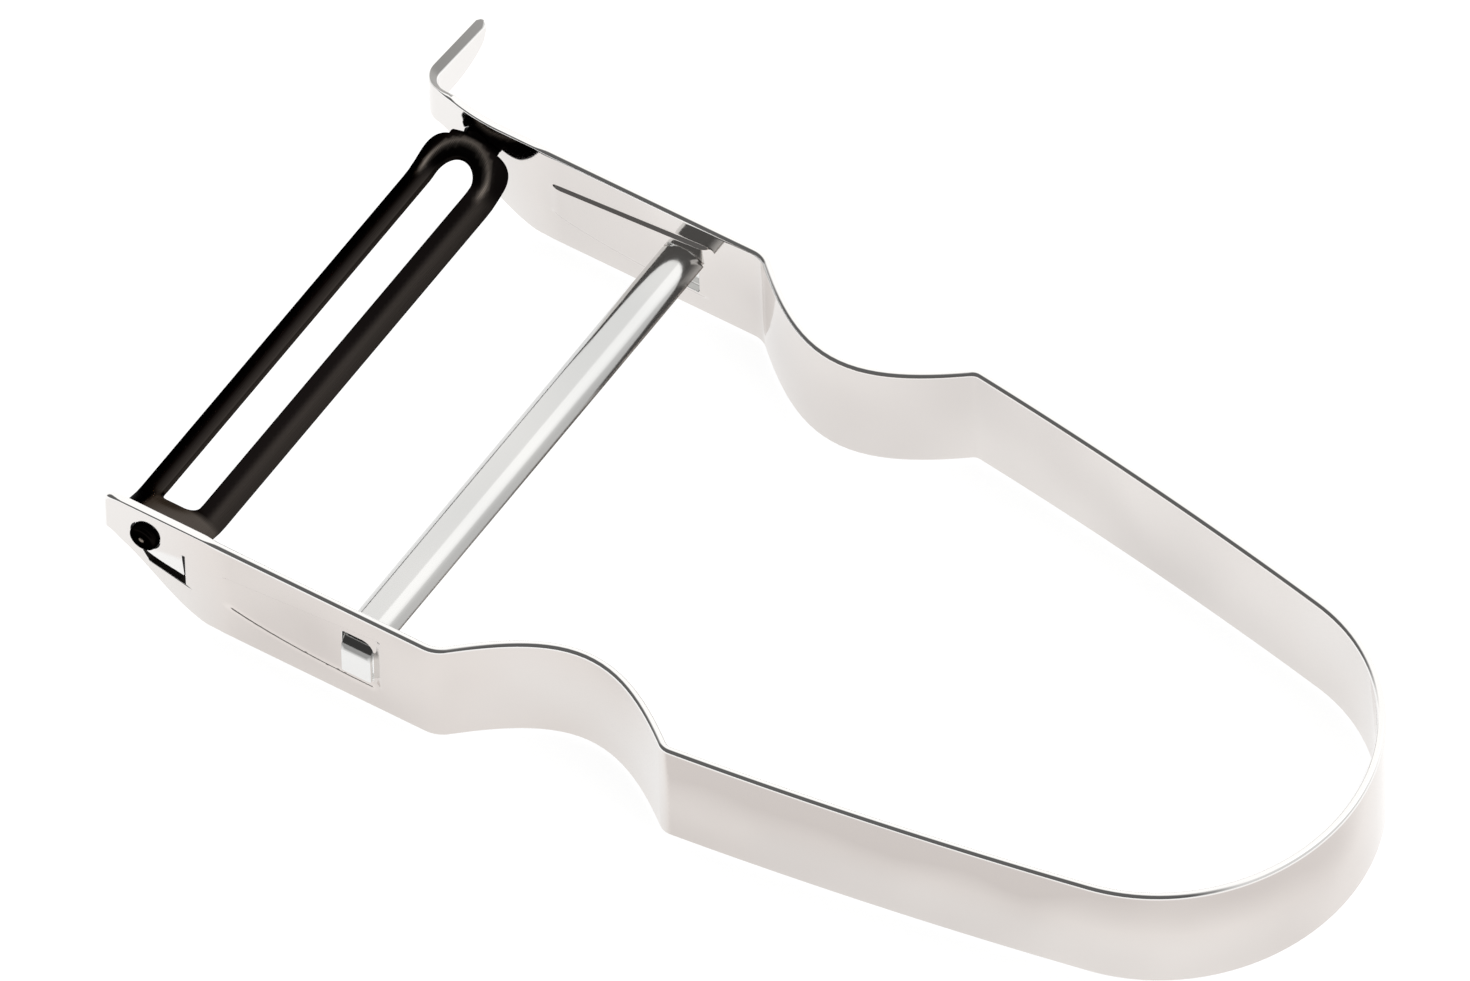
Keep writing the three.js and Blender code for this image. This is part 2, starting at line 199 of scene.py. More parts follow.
# Blade
BLADE_W = 10.2
BLADE_T = 0.8
BLADE_EDGE_ROUND = 0.2
BLADE_ARCH_R = 7.5
BLADE_CROWN_DROP = 0.3
BLADE_END = ARM_IN - 0.02
NECK_W = 5.9
NECK_LENGTH = 0.6
SHOULDER_LENGTH = 2.4
BLADE_SLOT_W = 4.4
BLADE_SLOT_NEAR = 26.7
BLADE_SLOT_CORNER = 1.3
BLADE_SLOT_FAR = -28.95
BLADE_RISE_START = 25.5
BLADE_RISE = 1.5
BLADE_CREST = 1.45
BLADE_CREST_SLOPE = 0.3
BLADE_CREST_ROUND = 0.35
# Painted highlights on the black blade: how strongly each place turns to the lighter colour, and where
FRONT_BAR_SHEEN = 0.06
REAR_BAR_SHEEN = 0.07
NEAR_END_SHEEN = 0.18
CREST_SHEEN = 0.60
CREST_SHEEN_WIDTH = 0.3
FRONT_BAR_SHEEN_AT = (-3.6, -2.3)
REAR_BAR_SHEEN_AT = (3.4, 4.3)
NEAR_END_SHEEN_AT = (-2.9, -2.1)
NEAR_END_AT = (BLADE_SLOT_NEAR - 0.4, BLADE_SLOT_NEAR + 0.4)
FAR_END_AT = (BLADE_SLOT_FAR + 1.0, BLADE_SLOT_FAR + 4.0)

# Fineness of the meshes
ARC_STEP = math.radians(3)
PLAN_STEP = 0.1
FINE_PITCH = 0.45
COARSE_PITCH = 1.1
LEAST_PITCH = 0.2
BEND_STEP = math.radians(6)
GUIDE_ROWS = 4
GUIDE_CLEARANCE = 0.2
RIM_MARGIN = 0.45
GUIDE_MARGIN = 0.3
EDGE_STEPS = 4
LATHE_STEPS = 64
WAIST_POINTS = 160
LOOP_POINTS = 120
FLARE_POINTS = 20
TAPER_POINTS = 80
GOUGE_POINTS = 24
BELLY_POINTS = 40
NECK_POINTS = 24
CREST_POINTS = 40
DOME_POINTS = 9
PIP_POINTS = 6
NORMAL_PROBE = 0.02
SHARP_ANGLE = math.radians(35)


def point(x, y):
    return np.array([x, y], float)


def unit(vector):
    return vector / np.linalg.norm(vector)


def turned(vector, angle):
    c, s = math.cos(angle), math.sin(angle)
    return point(c * vector[0] - s * vector[1], s * vector[0] + c * vector[1])


def smoothstep(value):
    clipped = np.clip(value, 0, 1)
    return clipped * clipped * (3 - 2 * clipped)


def between(value, limits):
    """Smooth rise from 0 at the first limit to 1 at the second."""
    return smoothstep((value - limits[0]) / (limits[1] - limits[0]))


def rounded(before, corner, after, radius):
    """Points on the arc that eases a corner, from the side of one neighbour to the other."""
    to_before = unit(before - corner)
    to_after = unit(after - corner)
    half = math.acos(float(np.clip(to_before @ to_after, -1, 1))) / 2
    centre = corner + unit(to_before + to_after) * radius / math.sin(half)
    start = corner + to_before * radius / math.tan(half) - centre
    side = to_before[0] * to_after[1] - to_before[1] * to_after[0]
    turn = -math.copysign(math.pi - 2 * half, side)
    count = max(2, math.ceil(abs(turn) / ARC_STEP))
    return [centre + turned(start, turn * i / count) for i in range(count + 1)]


def rounded_loop(corners, radius):
    """A closed outline with every corner eased by one radius."""
    count = len(corners)
    return [p for i in range(count)
            for p in rounded(corners[i - 1], corners[i], corners[(i + 1) % count], radius)]


def bezier(controls, count):
    """Points on a Bezier curve of any degree, by repeated steps between its control points."""
    t = np.linspace(0, 1, count)[:, None]
    levels = [np.array(c, float) * np.ones_like(t) for c in controls]
    while len(levels) > 1:
        levels = [a + (b - a) * t for a, b in zip(levels, levels[1:])]
    return list(levels[0])


def densified(loop, pitch):
    """A closed outline with its long segments cut to the pitch."""
    points = []
    for here, there in zip(loop, [*loop[1:], loop[0]]):
        count = max(1, math.ceil(np.linalg.norm(there - here) / pitch))
        points.extend(here + (there - here) * i / count for i in range(count))
    return np.array(points)


def without_repeats(loop, least=1e-4):
    return [p for p, q in zip(loop, [loop[-1], *loop[:-1]]) if np.linalg.norm(p - q) > least]


def area(loop):
    x, y = np.array(loop).T
    return (x @ np.roll(y, -1) - y @ np.roll(x, -1)) / 2


def wound(loop, sign):
    """The outline in the asked turning sense: +1 anticlockwise, -1 clockwise."""
    return loop if area(loop) * sign > 0 else loop[::-1]


def inside(points, loops):
    """Even-odd test of points against closed outlines."""
    found = np.zeros(len(points), bool)
    x, y = points[:, 0], points[:, 1]
    for loop in loops:
        for (x0, y0), (x1, y1) in zip(loop, np.roll(loop, -1, axis=0)):
            if y0 == y1:
                continue
            crosses = (y0 > y) != (y1 > y)
            found ^= crosses & (x < x0 + (y - y0) * (x1 - x0) / (y1 - y0))
    return found


def distance_to(points, line, closed=True):
    """Least distance from each point to an outline, or to an open line."""
    least = np.full(len(points), np.inf)
    ends = np.roll(line, -1, axis=0) if closed else line[1:]
    for a, b in zip(line, ends):
        along = b - a
        t = np.clip((points - a) @ along / (along @ along), 0, 1)
        least = np.minimum(least, np.linalg.norm(points - a - t[:, None] * along, axis=1))
    return least


class BentLine:
    """A smooth line in a plane, followed by its length; its normal is on the right of travel."""

    def __init__(self, points):
        points = np.array(points)
        lengths = np.concatenate([[0], np.cumsum(np.linalg.norm(np.diff(points, axis=0), axis=1))])
        self.length = lengths[-1]
        self.s = np.linspace(0, self.length, math.ceil(self.length / PLAN_STEP) + 1)
        self.points = np.stack([np.interp(self.s, lengths, points[:, k]) for k in (0, 1)], axis=1)
        tangents = np.gradient(self.points, axis=0)
        tangents /= np.linalg.norm(tangents, axis=1)[:, None]
        self.normals = np.stack([tangents[:, 1], -tangents[:, 0]], axis=1)

    def at(self, s):
        """Points and normals at the lengths s; the line runs straight on past its ends."""
        point_at = np.stack([np.interp(s, self.s, self.points[:, k]) for k in (0, 1)], axis=1)
        normal_at = np.stack([np.interp(s, self.s, self.normals[:, k]) for k in (0, 1)], axis=1)
        normal_at /= np.linalg.norm(normal_at, axis=1)[:, None]
        ahead = np.stack([-normal_at[:, 1], normal_at[:, 0]], axis=1)
        past = s - np.clip(s, 0, self.length)
        return point_at + ahead * past[:, None], normal_at


# Bow: the strip's plan line

def loop_end_point(angle):
    loop_end_y = ARM_BACK + WAIST_SPAN + LOOP_LENGTH
    return point(LOOP_END_HALF * math.cos(angle), loop_end_y + LOOP_END_DEPTH * (math.sin(angle) - 1))


def near_flank():
    tip = point(ARM_HALF, -TIP_AHEAD)
    arm_bend = point(ARM_HALF, ARM_BACK)
    shoulder = point(ARM_HALF - SHOULDER_INSET, ARM_BACK + WAIST_SPAN)
    waist_front = point(ARM_HALF - WAIST_PINCH, ARM_BACK + WAIST_EASE)
    waist_rear = point(ARM_HALF - WAIST_PINCH, shoulder[1] - WAIST_EASE)
    waist = bezier([arm_bend, waist_front, waist_rear, shoulder], WAIST_POINTS)
    bend = rounded(tip, arm_bend, waist_front, ARM_BEND_R)
    join = loop_end_point(LOOP_JOIN_ANGLE)
    lean = LOOP_END_HALF / LOOP_END_DEPTH * math.tan(LOOP_JOIN_ANGLE)
    middle_y = (shoulder[1] + join[1]) / 2
    side = bezier([shoulder, (join[0] + lean * (join[1] - middle_y), middle_y), join], LOOP_POINTS)
    past_ease = side[LOOP_POINTS // 12]
    ease = rounded(waist_rear, shoulder, past_ease, SHOULDER_R)
    return [
        *bend,
        *[p for p in waist if bend[-1][1] + JOIN_LENGTH < p[1] < ease[0][1] - JOIN_LENGTH],
        *ease,
        *[p for p in side if p[1] > ease[-1][1]],
    ]


def far_tip():
    """The far arm's gentle flare, the tight bend and the gouger."""
    sweep = math.asin((FLARE_START + GOUGE_AHEAD - 2 * GOUGE_BEND_R) / FLARE_R)
    flare = [point(-ARM_HALF - FLARE_R * (1 - math.cos(a)), FLARE_START - FLARE_R * math.sin(a))
             for a in np.linspace(0, sweep, FLARE_POINTS)]
    end = flare[-1]
    corner = point(end[0] - (end[1] + GOUGE_AHEAD) * math.tan(sweep), -GOUGE_AHEAD)
    tip = point(-ARM_HALF - GOUGE_REACH, GOUGE_SWEEP - GOUGE_AHEAD)
    return [*flare, *rounded(end, corner, tip, GOUGE_BEND_R), tip]


def bow_line():
    flank = near_flank()
    angles = np.linspace(LOOP_JOIN_ANGLE, math.pi - LOOP_JOIN_ANGLE, LOOP_POINTS)
    end = [loop_end_point(a) for a in angles]
    far_flank = [p * (-1, 1) for p in reversed(flank)]
    return BentLine([point(ARM_HALF, -TIP_AHEAD), *flank, *end[1:-1], *far_flank, *far_tip()])


BOW = bow_line()


def arm_table(side):
    """Places along an arm, from its front, with the strip's length there."""
    on_arm = (BOW.points[:, 0] * side > 0) & (BOW.points[:, 1] < ARM_BACK - ARM_BEND_R)
    places, lengths = BOW.points[on_arm, 1], BOW.s[on_arm]
    order = np.argsort(places)
    return places[order], lengths[order]


# Side +1 is the near arm and -1 the far one, which carries the gouger
ARM_TABLES = {side: arm_table(side) for side in (1, -1)}


def flat_on_arm(side, places):
    """(y, z) places on an arm as places in the flat strip."""
    return [point(np.interp(y, *ARM_TABLES[side]), z) for y, z in places]


def arm_hole(side, outline):
    """A (y, z) outline on an arm as a clockwise hole in the flat strip."""
    return wound(flat_on_arm(side, outline), -1)


def strip_grid():
    """Lengths along the strip, closer together on the arms and in tight bends, and row spacings there."""
    angle = np.unwrap(np.arctan2(BOW.normals[:, 1], BOW.normals[:, 0]))
    turn = np.abs(np.gradient(angle, BOW.s))
    window = round(1 / PLAN_STEP)
    tightest = np.array([turn[max(0, i - window):i + window + 1].max() for i in range(len(turn))])
    base = np.where(BOW.points[:, 1] < ARM_BACK, FINE_PITCH, COARSE_PITCH)
    pitch = np.minimum(base, np.maximum(BEND_STEP / np.maximum(tightest, 1e-6), LEAST_PITCH))
    columns = [0.0]
    while columns[-1] < BOW.length:
        columns.append(columns[-1] + np.interp(columns[-1], BOW.s, pitch))
    columns = np.array(columns) * BOW.length / columns[-1]
    return columns, np.interp(columns, BOW.s, base)


STRIP_GRID = strip_grid()


# Bow: outline, holes and pressed forms of the flat strip

def lower_edge(s):
    """Height of the strip's lower edge along its length."""
    plan, _ = BOW.at(s)
    taper = np.array(bezier(
        [(-TIP_AHEAD, STRIP_H - TIP_H), TAPER_EYE, TAPER_FOOT, (TAPER_END, 0)], TAPER_POINTS))
    height = np.interp(plan[:, 1], taper[:, 0], taper[:, 1])
    tip_x = -ARM_HALF - GOUGE_REACH
    along = np.clip((tip_x + GOUGE_ROUND_LENGTH - plan[:, 0]) / GOUGE_ROUND_LENGTH, 0, 1)
    rise = (TIP_H - GOUGE_TIP_H) * (1 - np.sqrt(1 - along ** 2))
    return np.where(plan[:, 1] > TAPER_END, 0, height + rise)


def strip_outline():
    columns, _ = STRIP_GRID
    sweep = np.sin(np.linspace(0, math.pi / 2, GOUGE_POINTS))
    tip_lengths = BOW.length + GOUGE_ROUND_LENGTH * (sweep - 1)
    lengths = np.concatenate([columns[columns < tip_lengths[0] - LEAST_PITCH], tip_lengths])
    bottom = [point(*p) for p in zip(lengths, lower_edge(lengths))]
    far_round = GOUGE_TIP_H / 3
    top_far = rounded(bottom[-1], point(BOW.length, STRIP_H), point(0, STRIP_H), far_round)
    top_near = rounded(point(BOW.length, STRIP_H), point(0, STRIP_H), bottom[0], TIP_ROUND)
    straight = (columns > TIP_ROUND) & (columns < BOW.length - far_round)
    top = [point(s, STRIP_H) for s in columns[straight][::-1]]
    return without_repeats([*bottom, *top_far, *top, *top_near])


def pivot_hole(side):
    radius = PIN_HOLE_D / 2
    angles = np.arange(0, 2 * math.pi, ARC_STEP * 2)
    return arm_hole(side, [(radius * math.cos(a), PIVOT_Z + radius * math.sin(a)) for a in angles])


def slot_corners():
    half = TONGUE_W / 2 + SLOT_PLAY
    return [point(BAR_Y - half, SLOT_SILL), point(BAR_Y + half, SLOT_SILL),
            point(BAR_Y + half, SLOT_TOP), point(BAR_Y - half, SLOT_TOP)]


def bar_slot(side):
    corners = slot_corners()
    radii = [SLOT_CORNER, SLOT_CORNER, SLOT_ROUND, SLOT_CORNER]
    loop = [p for i, radius in enumerate(radii)
            for p in rounded(corners[i - 1], corners[i], corners[(i + 1) % 4], radius)]
    return arm_hole(side, loop)


def stop_kerf():
    """The lanced cut below and behind the stop, which stays joined to the arm along its upper edge."""
    rear = STOP_REAR + STOP_KERF
    sill_front, sill_rear = STOP_SILL_DROPS
    low_front, low_rear = STOP_LOW_DROPS
    corners = [
        (STOP_REAR, STOP_REAR_TOP), (rear, STOP_REAR_TOP),
        (rear, sill_rear), (rear + STOP_TAIL, sill_rear + STOP_KERF),
        (STOP_SILL_FRONT, sill_front), STOP_NOSE,
        (STOP_FRONT, low_front), (STOP_REAR, low_rear),
    ]
    return arm_hole(1, [(y, PIVOT_Z - drop) for y, drop in corners])


RIB_REAR = BAR_Y + TONGUE_W / 2 + SLOT_PLAY + RIB_TAIL


def rib_edges(y):
    """Heights of the rib's lower and upper edge along an arm."""
    belly = np.array(bezier(
        [(RIB_FRONT, RIB_NOSE_LOW), (RIB_BELLY_Y, RIB_SILL), (RIB_REAR, RIB_SILL)], BELLY_POINTS))
    upper = np.interp(y, [RIB_FRONT, RIB_REAR], [RIB_NOSE_HIGH, RIB_TOP])
    return np.interp(y, belly[:, 0], belly[:, 1]), upper


def rib_depth(y):
    """Depth of the rib along an arm, which grows toward the bar."""
    return np.interp(y, [RIB_FRONT, RIB_REAR], [RIB_NOSE_DEPTH, RIB_DEPTH])


def rib_press(y, z):
    """How far the rib is pressed into an arm, with an easy lower wall and a steep upper one."""
    lower, upper = rib_edges(y)
    depth = rib_depth(y)
    ends = smoothstep((y - RIB_FRONT) / RIB_NOSE_EASE) * smoothstep((RIB_REAR - y) / RIB_REAR_EASE)
    walls = smoothstep((z - lower) / (depth * RIB_LOWER_RUN)) * smoothstep((upper - z) / RIB_UPPER_EASE)
    return depth * ends * walls


def stop_hinge(y):
    """Height of the stop's slanted fold along the near arm."""
    return PIVOT_Z - np.interp(y, [STOP_FRONT, STOP_REAR], STOP_HINGE_DROPS)


def on_stop(y, z):
    low = PIVOT_Z - np.interp(y, [STOP_FRONT, STOP_REAR], STOP_LOW_DROPS)
    sill = PIVOT_Z - np.interp(y, [STOP_SILL_FRONT, STOP_REAR], STOP_SILL_DROPS)
    return (y > STOP_FRONT) & (y < STOP_REAR + STOP_KERF / 2) & (z > (low + sill) / 2) & (z < stop_hinge(y))


def stop_press(y, z):
    """How far the stop leans inward at places on the near arm, more toward its free rear corner."""
    below = np.maximum(stop_hinge(y) - z, 0)
    past_fold = np.where(below < STOP_FOLD, below ** 2 / (2 * STOP_FOLD), below - STOP_FOLD / 2)
    deepest = STOP_LOW_DROPS[1] - STOP_HINGE_DROPS[1] - STOP_FOLD / 2
    from_front = smoothstep((y - STOP_FRONT) / (STOP_REAR - STOP_FRONT))
    return np.where(on_stop(y, z), STOP_LEAN * from_front * past_fold / deepest, 0)


def rib_guides(side):
    """Lines in the flat strip that follow the rib's walls."""
    y = np.arange(RIB_FRONT, RIB_REAR + FINE_PITCH / 2, FINE_PITCH)
    lower, upper = rib_edges(y)
    shares = np.linspace(0, 1, GUIDE_ROWS + 1)
    walls = [zip(y, lower + rib_depth(y) * RIB_LOWER_RUN * share) for share in shares]
    walls += [zip(y, upper - RIB_UPPER_EASE * share) for share in shares]
    return [np.array(flat_on_arm(side, line)) for line in walls]


def stop_guides():
    """Lines in the flat strip that follow the stop's fold."""
    y = np.arange(STOP_FRONT + FINE_PITCH, STOP_REAR - STOP_KERF, FINE_PITCH / 2)
    drops = (0, STOP_FOLD / 2, STOP_FOLD)
    return [np.array(flat_on_arm(1, zip(y, stop_hinge(y) - drop))) for drop in drops]


def bow_place(u, v, h):
    """Where the flat strip's points lie once it is pressed and bent."""
    plan, normal = BOW.at(u)
    y = plan[:, 1]
    arms = (np.abs(plan[:, 0]) > ARM_IN) & (y < ARM_BACK) & (y > STOP_FRONT)
    near = arms & (plan[:, 0] > 0)
    press = np.zeros(len(u))
    press[arms] = rib_press(y[arms], v[arms])
    press[near] += stop_press(y[near], v[near])
    height = v - gouge_bevel(u, v, h)
    return np.column_stack([plan + normal * (h - press)[:, None], height])


def on_gouger(u):
    """0 on the arm, 1 on the gouger, along the strip's length."""
    return smoothstep((u - BOW.length + GOUGE_START) / (GOUGE_START - GOUGE_FULL))


def gouge_bevel(u, v, h):
    """How far the gouger's upper edge is ground down, more toward its rear face."""
    near_top = smoothstep((v - STRIP_H + GOUGE_BEVEL_REACH) / GOUGE_BEVEL_REACH)
    return GOUGE_BEVEL * on_gouger(u) * near_top * (h / STRIP_T + 0.5)


# Blade

BLADE_MID_R = BLADE_ARCH_R - BLADE_T / 2


def across(y):
    """Length across the arched blade from its crown."""
    return BLADE_MID_R * math.asin(y / BLADE_MID_R)


def blade_outline():
    neck = BLADE_END - NECK_LENGTH
    half, neck_half = across(BLADE_W / 2), across(NECK_W / 2)
    shoulder = bezier([(neck - SHOULDER_LENGTH, half), (neck, half), (neck, neck_half)], NECK_POINTS)
    end = rounded(point(neck, neck_half), point(BLADE_END, neck_half), point(BLADE_END, 0), NECK_LENGTH / 2)
    quarter = [*shoulder, *end]
    right = [*quarter, *[p * (1, -1) for p in reversed(quarter)]]
    return without_repeats([*right, *[-p for p in right]])


def blade_slot():
    half_w = across(BLADE_SLOT_W / 2)
    angles = np.arange(-math.pi / 2, math.pi / 2 + ARC_STEP / 2, ARC_STEP)
    far_end = [point(BLADE_SLOT_FAR + (1 - math.cos(a)) * half_w, -math.sin(a) * half_w) for a in angles]
    low, high = point(BLADE_SLOT_NEAR, -half_w), point(BLADE_SLOT_NEAR, half_w)
    near_low = rounded(far_end[-1], low, high, BLADE_SLOT_CORNER)
    near_high = rounded(low, high, far_end[0], BLADE_SLOT_CORNER)
    return wound([*near_low, *near_high, *far_end], -1)


def crest_distance(u, v):
    """Distance inward from the crest that runs round the blade's slot; negative outside it."""
    half_w = across(BLADE_SLOT_W / 2)
    along = u - np.clip(u, BLADE_SLOT_FAR + half_w, BLADE_SLOT_NEAR - half_w)
    return half_w + BLADE_CREST - np.hypot(along, v)


def crest_guides():
    """Lines on the flat blade along the crest round the slot's far end."""
    half_w = across(BLADE_SLOT_W / 2)
    angles = np.linspace(math.pi / 2, 3 * math.pi / 2, CREST_POINTS)
    reaches = half_w + BLADE_CREST + np.array([-2, -1, 0, 1, 2]) * CREST_SHEEN_WIDTH / 2
    return [np.array([point(BLADE_SLOT_FAR + half_w + r * math.cos(a), r * math.sin(a)) for a in angles])
            for r in reaches]


def blade_place(u, v, h):
    """The blade is arched across, falls from a crest to its slot, and its ends rise to the pins."""
    angle = v / BLADE_MID_R
    radius = BLADE_MID_R + h
    share = (np.abs(u) - BLADE_RISE_START) / (BLADE_END - BLADE_RISE_START)
    inward = crest_distance(u, v)
    fall = BLADE_CREST_SLOPE * (inward + np.hypot(inward, BLADE_CREST_ROUND)) / 2
    crown = PIVOT_Z - BLADE_CROWN_DROP - BLADE_ARCH_R + BLADE_RISE * smoothstep(share) - fall
    return np.column_stack([u, radius * np.sin(angle), crown + radius * np.cos(angle)])


def pin_profile():
    """(x, radius) outline of the pin, from its root in the neck to the pip on its end."""
    radius = PIN_D / 2
    face = ARM_OUT + PIN_PROUD
    dome = [point(face - PIN_DOME * (1 - math.sin(a)), radius - PIN_DOME * (1 - math.cos(a)))
            for a in np.linspace(0, math.pi / 2, DOME_POINTS)]
    pip = [point(face + PIN_PIP_RISE * math.sin(a), PIN_PIP * math.cos(a))
           for a in np.linspace(0, math.pi / 2, PIP_POINTS)]
    root = BLADE_END - NECK_LENGTH
    return [
        point(root, 0), point(root, radius / 2), point(BLADE_END, radius), *dome,
        point(face, PIN_PIP + PIN_PIP_BORDER), *pip[:-1], point(face + PIN_PIP_RISE, 0),
    ]


# Cross bar

BAR_MID_R = BAR_R - BAR_T / 2
BAR_END = ARM_IN - RIB_DEPTH - BAR_GAP


def bar_outline():
    half = BAR_MID_R * BAR_HALF_ANGLE
    corners = [point(-BAR_END, -half), point(BAR_END, -half), point(BAR_END, half), point(-BAR_END, half)]
    return rounded_loop(corners, BAR_CORNER)


def bar_place(u, v, h):
    angle = v / BAR_MID_R
    radius = BAR_MID_R + h
    return np.column_stack([u, BAR_Y + radius * np.sin(angle), BAR_TOP - BAR_R + radius * np.cos(angle)])


def tongue_line():
    """Middle of the tongue in (x, z), from under the bar's crown to its bent-down tip."""
    level = TONGUE_TOP - BAR_T / 2
    outside = ARM_OUT - BAR_T / 2
    root = point(BAR_END - TONGUE_LAP, level)
    corner = point(outside, level)
    tip = point(outside, SLOT_SILL + SLOT_PLAY)
    return BentLine([root, *rounded(root, corner, tip, TONGUE_BEND_R - BAR_T / 2), tip])


TONGUE = tongue_line()


def tongue_outline():
    half = TONGUE_W / 2
    corners = [point(0, -half), point(TONGUE.length, -half), point(TONGUE.length, half), point(0, half)]
    return rounded_loop(corners, SLOT_CORNER)


def tongue_place(side):
    def place(u, v, h):
        middle, normal = TONGUE.at(u)
        x, z = (middle - normal * h[:, None]).T
        return np.column_stack([side * x, BAR_Y + side * v, z])
    return place


# Meshes

def inset_loop(loop, distance):
    """An outline moved toward the sheet, which lies on its left."""
    ahead = np.roll(loop, -1, axis=0) - loop
    ahead /= np.linalg.norm(ahead, axis=1)[:, None]
    behind = np.roll(ahead, 1, axis=0)
    left = np.column_stack([-ahead[:, 1], ahead[:, 0]]) + np.column_stack([-behind[:, 1], behind[:, 0]])
    reach = np.maximum((left ** 2).sum(axis=1), 0.5)
    return loop + left * (2 * np.asarray(distance) / reach)[:, None]


def even_grid(outline, pitch):
    """Columns over a plain sheet at one pitch, and the row spacing there."""
    places = np.array(outline)[:, 0]
    columns = np.linspace(places.min(), places.max(), math.ceil(np.ptp(places) / pitch) + 1)
    return columns, np.full(len(columns), pitch)


def filled(loops, grid, guides):
    """Triangles over the sheet between closed outlines, with extra points on guide lines and a lattice."""
    v_low, v_high = loops[0][:, 1].min(), loops[0][:, 1].max()
    lattice = []
    spacing = []
    for i, (u, pitch) in enumerate(zip(*grid)):
        count = max(2, round((v_high - v_low) / pitch))
        lattice.extend((u, v_low + (v_high - v_low) * (k + 0.5 * (i % 2)) / count) for k in range(count))
        spacing.extend([pitch] * count)
    lattice, spacing = np.array(lattice), np.array(spacing)
    clear = inside(lattice, loops)
    for loop in loops:
        clear[clear] &= distance_to(lattice[clear], loop) > RIM_MARGIN * spacing[clear]
    for guide in guides:
        clear[clear] &= distance_to(lattice[clear], guide, closed=False) > GUIDE_MARGIN * spacing[clear]

    points = list(np.concatenate(loops))
    rim_count = len(points)
    edges = []
    first = 0
    for loop in loops:
        count = len(loop)
        edges.extend((first + i, first + (i + 1) % count) for i in range(count))
        first += count
    for guide in guides:
        usable = inside(guide, loops)
        for loop in loops:
            usable &= distance_to(guide, loop) > GUIDE_CLEARANCE
        numbers = np.cumsum(usable) - 1 + len(points)
        edges.extend((numbers[i], numbers[i + 1]) for i in range(len(guide) - 1)
                     if usable[i] and usable[i + 1])
        points.extend(guide[usable])
    points.extend(lattice[clear])

    vectors = [Vector(p) for p in points]
    made, _, faces, origins, _, _ = delaunay_2d_cdt(vectors, edges, [], 0, 1e-7)
    place_of = {source: i for i, sources in enumerate(origins) for source in sources}
    made = np.array([tuple(p) for p in made])
    faces = np.array(faces)
    kept = faces[inside(made[faces].mean(axis=1), loops)]
    return made, kept, [place_of[i] for i in range(rim_count)]


# Mesh of a sheet: the material number of each face, and each vertex's flat place and whether it is on a rim
Sheet = namedtuple("Sheet", "vertices normals faces kinds places rim")


def sheet_parts(outline, holes, thickness, rounds, grid, place, guides=(), wall_kinds=None):
    """A pressed sheet with rounded edges.

    The outlines lie in the flat sheet, and place bends it. rounds are the radii at the outline, as a
    function of the length along the sheet, and at the holes. wall_kinds gives the material numbers of the
    walls between the rounded edges, from the outline's number and its points."""
    loops = [densified(wound(outline, 1), COARSE_PITCH)]
    loops += [densified(hole, FINE_PITCH) for hole in holes]
    radii = [rounds[0](loops[0][:, 0])] + [np.full(len(loop), rounds[1]) for loop in loops[1:]]
    flat, triangles, rim = filled([inset_loop(loop, r) for loop, r in zip(loops, radii)], grid, guides)
    half = thickness / 2

    def slope(spots, heights, step, rise=0.0):
        """Change of place along a flat step and a rise through the sheet."""
        ahead = place(*(spots + step).T, heights + rise)
        behind = place(*(spots - step).T, heights - rise)
        return ahead - behind

    def unit_cross(a, b):
        normal = np.cross(a, b)
        return normal / np.linalg.norm(normal, axis=1)[:, None]

    def face_normals(spots, heights):
        u_step, v_step = point(NORMAL_PROBE, 0), point(0, NORMAL_PROBE)
        return unit_cross(slope(spots, heights, u_step), slope(spots, heights, v_step))

    count = len(flat)
    top, bottom = np.full(count, half), np.full(count, -half)
    vertices = [place(*flat.T, top), place(*flat.T, bottom)]
    normals = [face_normals(flat, top), -face_normals(flat, bottom)]
    places = [flat, flat]
    faces = [tuple(t) for t in triangles] + [tuple(t[::-1] + count) for t in triangles]
    kinds = [0] * len(faces)
    first_new = 2 * count
    first_rim = 0
    quarter = np.linspace(0, math.pi / 2, EDGE_STEPS + 1)
    for number, (loop, radius) in enumerate(zip(loops, radii)):
        size = len(loop)
        rows = [np.array(rim[first_rim:first_rim + size])]
        inward = inset_loop(loop, np.full(size, NORMAL_PROBE)) - loop
        inward *= NORMAL_PROBE / np.linalg.norm(inward, axis=1)[:, None]
        ahead = np.column_stack([inward[:, 1], -inward[:, 0]])
        upper_steps = [(radius * (1 - math.sin(a)), half - radius * (1 - math.cos(a)), a) for a in quarter]
        steps = upper_steps + [(inset, -height, math.pi - a) for inset, height, a in reversed(upper_steps)]
        for inset, height, angle in steps[1:-1]:
            row = inset_loop(loop, inset)
            edge = unit_cross(slope(row, height, ahead), slope(row, height, 0 * ahead, NORMAL_PROBE))
            vertices.append(place(*row.T, height))
            normals.append(face_normals(row, height) * math.cos(angle) + edge * math.sin(angle))
            places.append(row)
            rows.append(np.arange(first_new, first_new + size))
            first_new += size
        rows.append(rows[0] + count)
        for step, (upper, lower) in enumerate(zip(rows, rows[1:])):
            quads = zip(upper, lower, np.roll(lower, -1), np.roll(upper, -1))
            faces.extend(quads)
            kinds.extend(wall_kinds(number, loop) if wall_kinds and step == EDGE_STEPS else [0] * size)
        first_rim += size
    places = np.concatenate(places)
    rim = np.arange(len(places)) >= 2 * count
    return Sheet(np.concatenate(vertices), np.concatenate(normals), faces, kinds, places, rim)


